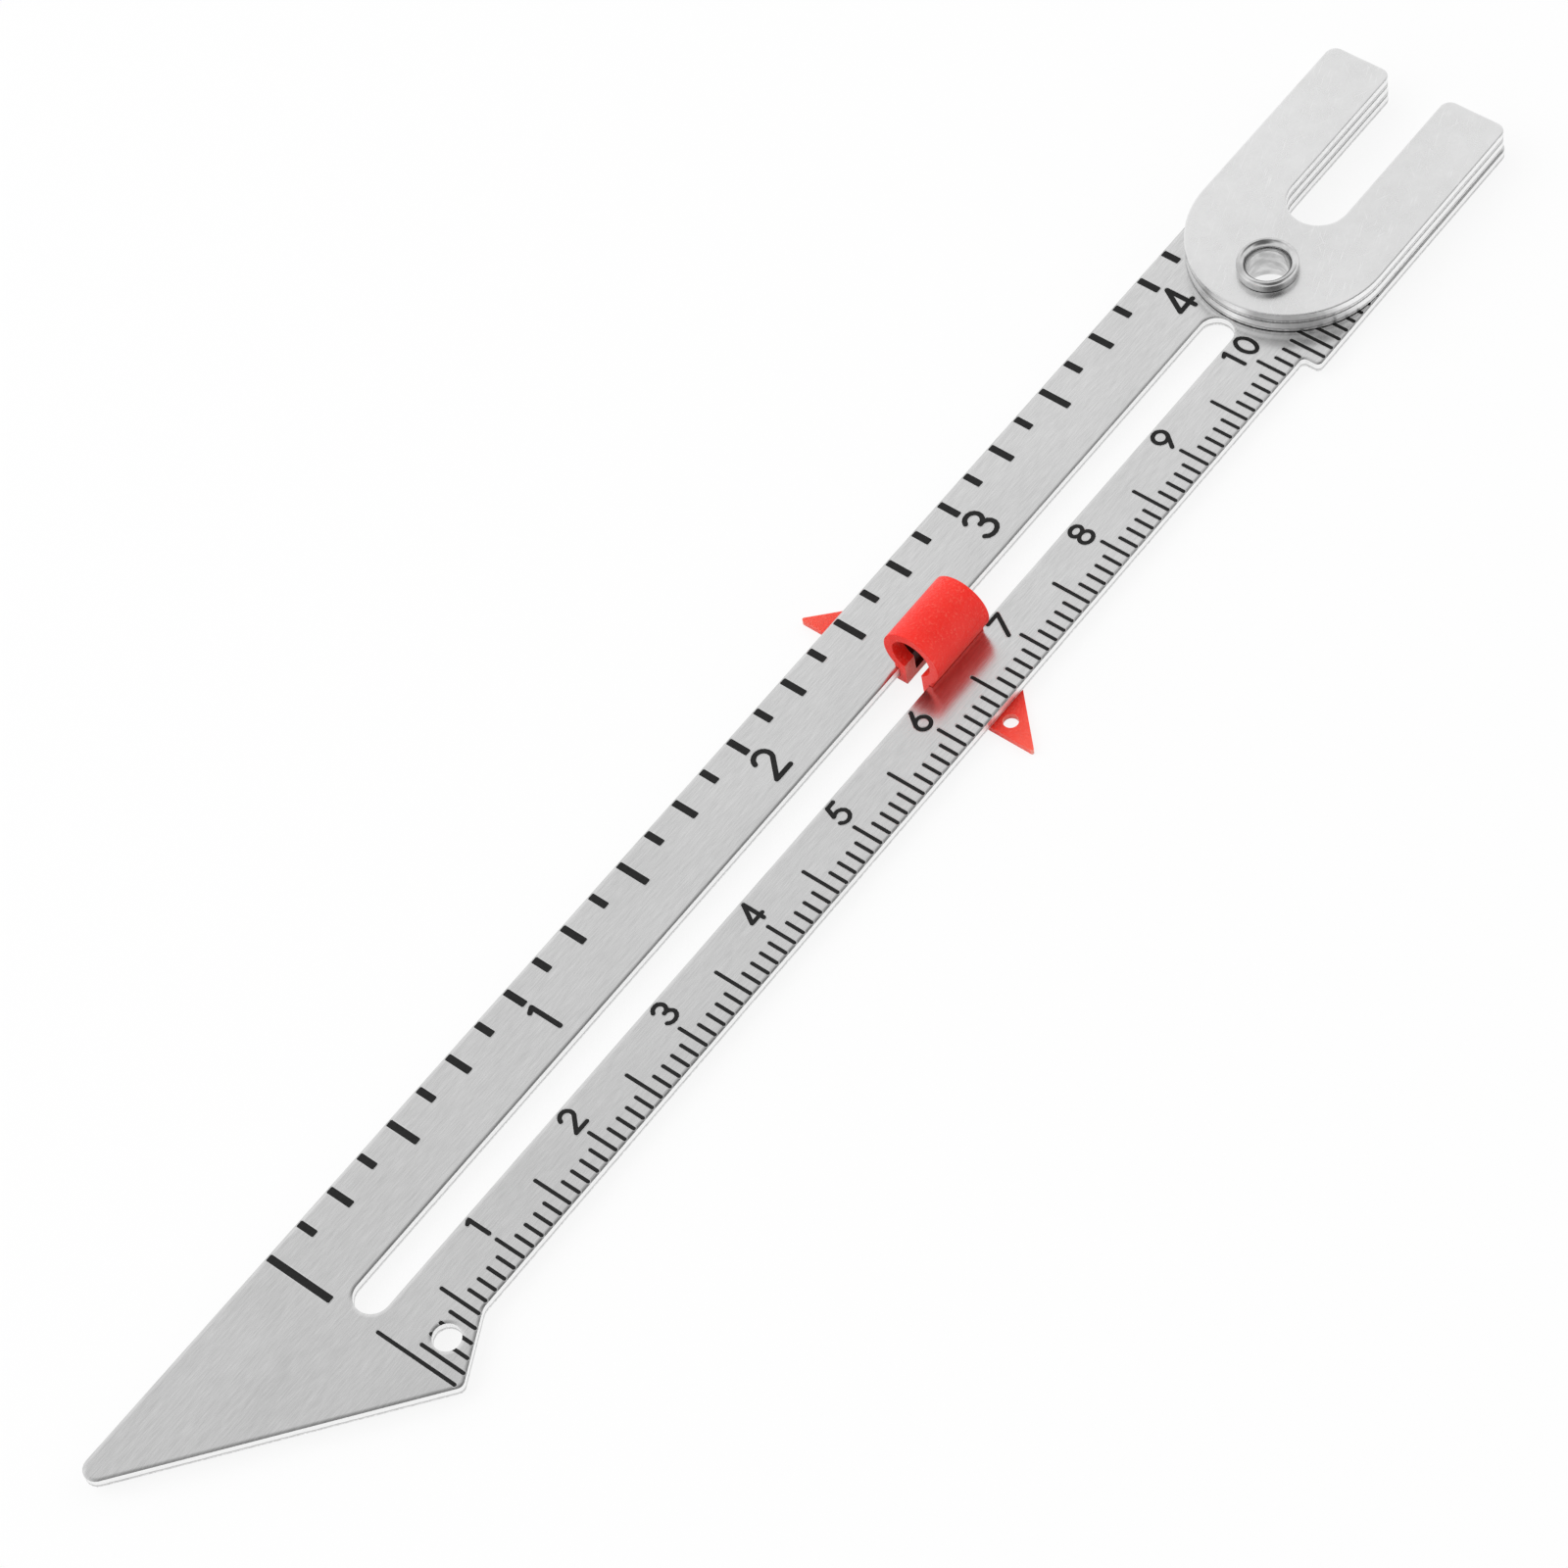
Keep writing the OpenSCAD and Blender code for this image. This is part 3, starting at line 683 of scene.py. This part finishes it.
# %% Rivet
eyelet_low, eyelet_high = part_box("eyelet")
axis = (eyelet_low + eyelet_high) / 2
BORE, BARREL, COLLAR, FLANGE = 1.6 * MM, 1.95 * MM, 2.4 * MM, 2.7 * MM
COLLAR_FOOT, TOP = 3.51 * MM, eyelet_high.z
CREST_ROLL, SLOPE_DROP, FOOT_ROLL = 0.25 * MM, 0.9 * MM, 0.06 * MM
FLANGE_TOP = 0.6 * MM
SLOPE_STEPS, SPIN_STEPS = 12, 96
FLARE = ((0.74, 0.0), (0.55, 0.15), (0.40, 0.35), (0.29, 0.6), (0.2, 0.95), (0.12, 1.3),
         (0.05, 1.65), (0.01, 2.0), (0.0, 2.3))


def arc(centre, radius, start, end, steps):
    """Points of an arc in the r, z plane, angles in degrees."""
    angles = [math.radians(start + (end - start) * i / steps) for i in range(steps + 1)]
    return [(centre[0] + radius * math.cos(a), centre[1] + radius * math.sin(a)) for a in angles]


flange_roll = FLANGE_TOP / 2
crest = COLLAR - CREST_ROLL
outline = [(crest - (crest - BORE) * math.cos(a), TOP - SLOPE_DROP * (1 - math.sin(a)))
           for a in (math.tau / 4 * i / SLOPE_STEPS for i in range(SLOPE_STEPS))]
outline += arc((crest, TOP - CREST_ROLL), CREST_ROLL, 90, 0, steps=8)
outline += arc((COLLAR - FOOT_ROLL, COLLAR_FOOT + FOOT_ROLL), FOOT_ROLL, 0, -90, steps=4)
outline += [(BARREL, COLLAR_FOOT), (BARREL, FLANGE_TOP)]
outline += arc((FLANGE - flange_roll, flange_roll), flange_roll, 90, -90, steps=10)
outline += [(BORE + out * MM, height * MM) for out, height in FLARE]
bm = bmesh.new()
ring = [bm.verts.new((axis.x + r, axis.y, z)) for r, z in outline]
edges = [bm.edges.new((a, b)) for a, b in zip(ring, ring[1:] + ring[:1])]
bmesh.ops.spin(bm, geom=ring + edges, cent=(axis.x, axis.y, 0), axis=(0, 0, 1),
               angle=math.tau, steps=SPIN_STEPS, use_merge=True)
bmesh.ops.remove_doubles(bm, verts=bm.verts, dist=MERGE)
bmesh.ops.recalc_face_normals(bm, faces=bm.faces)
rivet = piece_from(bm, "rivet", "gauge", nickel)
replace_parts(smoothed(rivet), "eyelet")
print("rivet:", len(rivet.data.polygons), "faces")

# %% [markdown]
# The red pointer
#
# The pointer is a springy clip: two legs go down through the slot, and a foot on each side
# points at a scale. The clip is round inside and hollowed out behind a rib at each end. Its
# outer shape comes from a merged copy of the CAD node. Two cutters with the section of a
# keyhole open the gap between the legs and carve the hollow, and the hollow's walls take a
# dark red that is painted on as its shade.

# %% Keyhole cutters
CLIP_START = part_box("slider")[0].x
CLIP_LENGTH = 6.2 * MM
ARCH_MIDDLE, TUNNEL = 3.75 * MM, 1.7 * MM
LEG_GAP = 0.75 * MM
RIB, HOLLOW_DEPTH, HOLLOW_FOOT = 1.15 * MM, 0.32 * MM, 0.62 * MM
# Material slots: the skin; a paler red painted on thin walls as light shining through; a dark red
# painted in the hollow as its shade.
SKIN, THIN_GLOW, HOLLOW_SHADE = 0, 1, 2


def keyhole(name, half_gap, foot, radius, start, finish, index):
    """A cutter along the clip: a round tunnel over a straight gap, as one extruded section."""
    turn = math.degrees(math.asin(half_gap / radius))
    section = [(-half_gap, foot), (half_gap, foot)]
    section += arc((0.0, ARCH_MIDDLE), radius, turn - 90, 270 - turn, steps=48)
    bm = bmesh.new()
    end = bm.faces.new([bm.verts.new((start, y, z)) for y, z in section])
    drawn = bmesh.ops.extrude_face_region(bm, geom=[end])["geom"]
    bmesh.ops.translate(bm, vec=(finish - start, 0, 0),
                        verts=[g for g in drawn if isinstance(g, bmesh.types.BMVert)])
    bmesh.ops.recalc_face_normals(bm, faces=bm.faces)
    for face in bm.faces:
        face.material_index = index
    return piece_from(bm, name, None, red_skin, red_thin_glow_paint, red_painted_shade)


# The hollow cutter's faces take the dark red that is painted on as shade.
cutters = (keyhole("gap_cutter", LEG_GAP, -MM, TUNNEL,
                   CLIP_START - MM, CLIP_START + CLIP_LENGTH + MM, SKIN),
           keyhole("hollow_cutter", LEG_GAP + HOLLOW_DEPTH, HOLLOW_FOOT, TUNNEL + HOLLOW_DEPTH,
                   CLIP_START + RIB, CLIP_START + CLIP_LENGTH - RIB, HOLLOW_SHADE))
print("cutters:", ", ".join(cutter.name for cutter in cutters))

# %% [markdown]
# Soft corners and thin walls
#
# After the cuts, faces that lie in one plane are joined again, so that the bevel has clean
# edges to work on. The walls of the feet and of the gap are thin plastic and take the paler
# red, which is painted on as the light that shines through them. Moulded corners are never
# sharp, so every sharp edge gets a small round bevel.

# %% Pointer
FOOT_TOP, FOOT_FROM = 0.55 * MM, 2.0 * MM
UPRIGHT, SIDEWAYS = 0.3, 0.9
GAP_SLACK, ROUND_CORNER = 0.05 * MM, 0.09 * MM
pointer = piece_from(merged_copy("slider"), "pointer", "slider", red_skin, red_thin_glow_paint, red_painted_shade)
for cutter in cutters:
    boolean(pointer, "DIFFERENCE", cutter)
    bpy.data.objects.remove(cutter)
bm = bmesh.new()
bm.from_mesh(pointer.data)
bmesh.ops.remove_doubles(bm, verts=bm.verts, dist=MERGE)
bmesh.ops.dissolve_limit(bm, angle_limit=NEARLY_FLAT, verts=bm.verts, edges=bm.edges,
                         delimit={"MATERIAL"})
# Thin walls take the paler red, painted on as the light that shines through them.
for face in bm.faces:
    spot = face.calc_center_median()
    foot_wall = abs(face.normal.z) < UPRIGHT and spot.z < FOOT_TOP and abs(spot.y) > FOOT_FROM
    gap_wall = abs(face.normal.y) > SIDEWAYS and abs(spot.y) < LEG_GAP + GAP_SLACK
    if foot_wall or gap_wall:
        face.material_index = THIN_GLOW
corners = [e for e in bm.edges if e.calc_face_angle(0) > SHARP]
bmesh.ops.bevel(bm, geom=corners, offset=ROUND_CORNER, offset_type="OFFSET", segments=3,
                profile=0.5, affect="EDGES", material=-1, clamp_overlap=True)
print("open pointer edges:", sum(not e.is_manifold for e in bm.edges))
bm.to_mesh(pointer.data)
bm.free()
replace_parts(smoothed(pointer), "slider")
print("pointer:", len(pointer.data.polygons), "faces")

# %% [markdown]
# The floor
#
# The photograph stands on plain white. The floor is a large pale sheet just under the gauge.
# Seen by the camera, or mirrored in metal, it is mixed with white, so the page stays white
# and the shadow stays soft.

# %% Floor
FLOOR_HALF, FLOOR_DROP, WHITE_SHARE = 1.5, 0.01 * MM, 0.85
bm = bmesh.new()
bmesh.ops.create_grid(bm, x_segments=1, y_segments=1, size=FLOOR_HALF)
bmesh.ops.translate(bm, vec=(0, 0, -FLOOR_DROP), verts=bm.verts)
floor_finish = Finish("floor_white", Roughness=0.9)
floor_finish.shader.inputs["Base Color"].default_value = (0.92, 0.92, 0.92, 1.0)
glow = floor_finish.node("Emission")
light_path = floor_finish.node("LightPath")
seen = floor_finish.node("Math", operation="MAXIMUM")
floor_finish.link(light_path.outputs["Is Camera Ray"], seen.inputs[0])
floor_finish.link(light_path.outputs["Is Glossy Ray"], seen.inputs[1])
share = floor_finish.node("Math", operation="MULTIPLY")
floor_finish.link(seen.outputs[0], share.inputs[0])
share.inputs[1].default_value = WHITE_SHARE
mix = floor_finish.node("MixShader")
floor_finish.link(share.outputs[0], mix.inputs["Fac"])
floor_finish.link(floor_finish.shader.outputs[0], mix.inputs[1])
floor_finish.link(glow.outputs[0], mix.inputs[2])
floor_finish.link(mix.outputs[0], floor_finish.tree.nodes["Material Output"].inputs["Surface"])
floor = piece_from(bm, "floor", None, floor_finish)
print("floor, m:", 2 * FLOOR_HALF)

# %% [markdown]
# The light tent
#
# The world is white near the horizon and greyer overhead, as in a light tent that is open at
# the top, because that is what tells flat metal from bent metal. Two soft dark flags hang in
# the tent, one behind the camera and one nearly overhead. Rims that bend towards the camera
# mirror them as dark lines. The camera itself sees plain white.

# %% World
TENT, HORIZON, ZENITH = ((0.76, 0.98), (0.87, 0.84), (0.94, 0.58)), 1.0, 0.24
FLAGS = (((-0.40, -0.52, 0.75), 0.80, 0.96, 0.20), ((0.37, -0.15, 0.915), 0.90, 0.975, 0.38))
world = bpy.data.worlds.new("light_tent")
bpy.context.scene.world = world
world.use_nodes = True
tree = world.node_tree
background = tree.nodes["Background"]
coords = tree.nodes.new("ShaderNodeTexCoord")
split = tree.nodes.new("ShaderNodeSeparateXYZ")
ramp = tree.nodes.new("ShaderNodeValToRGB")
stops = ramp.color_ramp.elements
stops[0].color, stops[-1].color = (*grey(HORIZON), 1.0), (*grey(ZENITH), 1.0)
for position, level in TENT:
    stops.new(position).color = (*grey(level), 1.0)
paths = tree.nodes.new("ShaderNodeLightPath")
pick = tree.nodes.new("ShaderNodeMixRGB")
pick.inputs[2].default_value = (1.0, 1.0, 1.0, 1.0)
tree.links.new(coords.outputs["Generated"], split.inputs[0])
tree.links.new(split.outputs["Z"], ramp.inputs[0])
tent_light = ramp.outputs[0]
for direction, rim_dot, middle_dot, level in FLAGS:
    towards = tree.nodes.new("ShaderNodeVectorMath")
    towards.operation = "DOT_PRODUCT"
    towards.inputs[1].default_value = direction
    flag = tree.nodes.new("ShaderNodeMapRange")
    for socket, value in zip(("From Min", "From Max", "To Min", "To Max"),
                             (rim_dot, middle_dot, 1.0, level)):
        flag.inputs[socket].default_value = value
    shaded = tree.nodes.new("ShaderNodeVectorMath")
    shaded.operation = "SCALE"
    tree.links.new(coords.outputs["Generated"], towards.inputs[0])
    tree.links.new(towards.outputs["Value"], flag.inputs["Value"])
    tree.links.new(tent_light, shaded.inputs[0])
    tree.links.new(flag.outputs["Result"], shaded.inputs["Scale"])
    tent_light = shaded.outputs["Vector"]
tree.links.new(paths.outputs["Is Camera Ray"], pick.inputs[0])
tree.links.new(tent_light, pick.inputs[1])
tree.links.new(pick.outputs[0], background.inputs["Color"])
background.inputs["Strength"].default_value = 1.0
print("flags in the tent:", len(FLAGS))

# %% [markdown]
# Two soft lamps
#
# The tent alone would leave the red pointer flat. A large lamp above and behind gives it a
# lit side, and a weaker one opposite fills the shade. Neither shows in the metal.

# %% Lamps
def soft_lamp(name, place_mm, side_mm, watts):
    """A square lamp that faces the gauge's middle and is not mirrored in metal."""
    data = bpy.data.lights.new(name, "AREA")
    data.shape, data.size, data.energy = "SQUARE", side_mm * MM, watts
    lamp = bpy.data.objects.new(name, data)
    lamp.visible_glossy = False
    bpy.context.scene.collection.objects.link(lamp)
    place = Vector(place_mm) * MM
    facing = (-place).to_track_quat("-Z", "Y").to_matrix().to_4x4()
    lamp.matrix_world = Matrix.Translation(place) @ facing
    print(name, "stands", round(place.length, 2), "m away")


soft_lamp("key_lamp", (-300, 420, 560), 900, 2.9)
soft_lamp("fill_lamp", (520, -300, 420), 700, 0.9)
